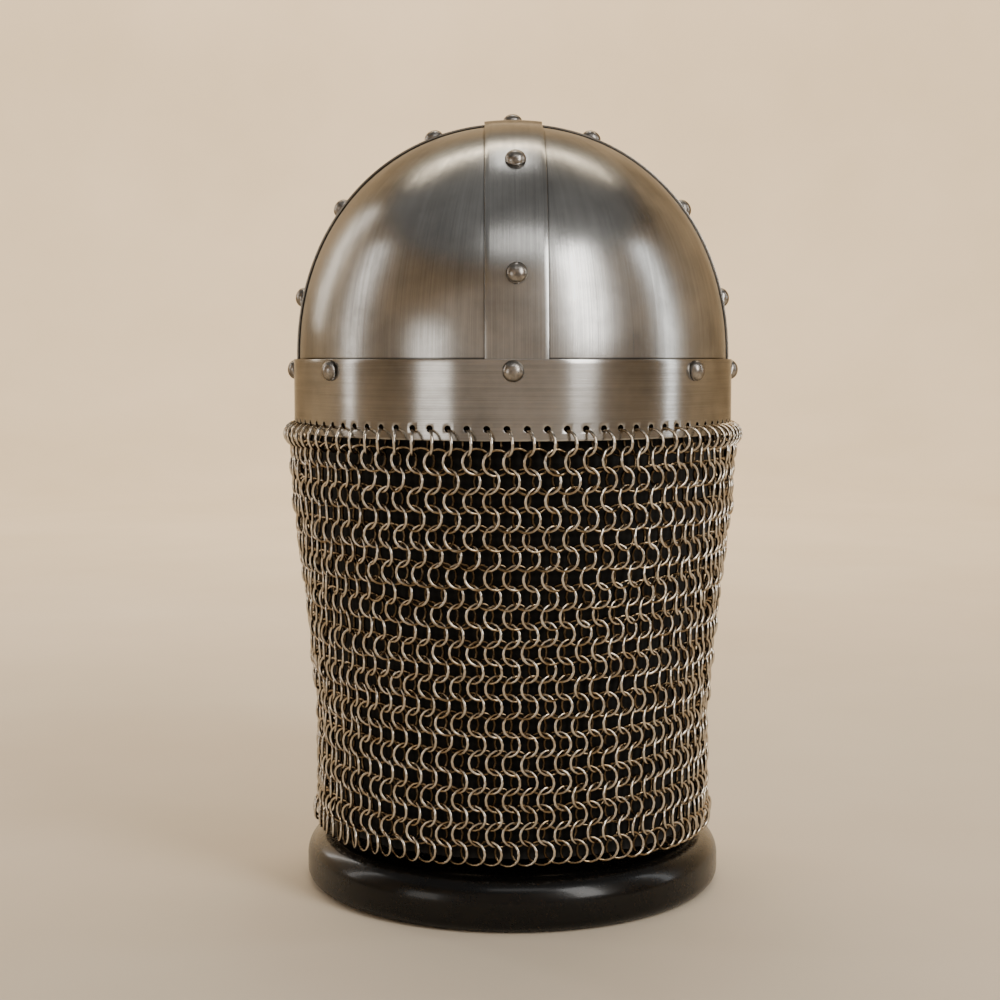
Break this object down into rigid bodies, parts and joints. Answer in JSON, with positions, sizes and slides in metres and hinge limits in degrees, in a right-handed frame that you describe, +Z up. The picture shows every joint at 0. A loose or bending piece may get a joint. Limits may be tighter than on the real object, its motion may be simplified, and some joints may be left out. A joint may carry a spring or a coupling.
{
  "type": "spectacle helmet with mail curtain on round display stand",
  "caption": "Domed steel helmet of riveted plates and bands with a spectacle guard and a hanging mail curtain, carried by a round black display stand.",
  "frame": {"origin": "middle of the stand's flat foot, on the floor", "axes": "+Z up, -Y the way the wearer faces, +X the wearer's left, in metres"},
  "size_m": [0.2176, 0.2497, 0.3658],
  "materials": {
    "steel_sheet": "satin brushed steel with fine scratches",
    "rivet_steel": "smooth polished steel, a little darker than the sheets",
    "mail_steel": "round steel wire with a warm brown tint",
    "stand_lacquer": "black gloss lacquer",
    "post_black": "plain matt black",
    "lining_cloth": "plain woven black cloth"
  },
  "bodies": {
    "root": {"band_ear_to_ear": "steel_sheet", "band_front_to_back": "steel_sheet", "brow_band": "steel_sheet", "mail_curtain": "mail_steel", "mail_lining": "lining_cloth", "rivet_brow_front": "rivet_steel", "rivet_brow_front_left": "rivet_steel", "rivet_brow_front_right": "rivet_steel", "rivet_brow_left": "rivet_steel", "rivet_brow_rear": "rivet_steel", "rivet_brow_rear_left": "rivet_steel", "rivet_brow_rear_right": "rivet_steel", "rivet_brow_right": "rivet_steel", "rivet_crown": "rivet_steel", "rivet_front_lower": "rivet_steel", "rivet_front_upper": "rivet_steel", "rivet_guard_left": "rivet_steel", "rivet_guard_middle": "rivet_steel", "rivet_guard_right": "rivet_steel", "rivet_left_lower": "rivet_steel", "rivet_left_middle": "rivet_steel", "rivet_left_upper": "rivet_steel", "rivet_rear_lower": "rivet_steel", "rivet_rear_upper": "rivet_steel", "rivet_right_lower": "rivet_steel", "rivet_right_middle": "rivet_steel", "rivet_right_upper": "rivet_steel", "skull_plate_front_left": "steel_sheet", "skull_plate_front_right": "steel_sheet", "skull_plate_rear_left": "steel_sheet", "skull_plate_rear_right": "steel_sheet", "spectacle_guard": "steel_sheet", "stand_base": "stand_lacquer", "stand_post": "post_black"}
  },
  "joints": []
}
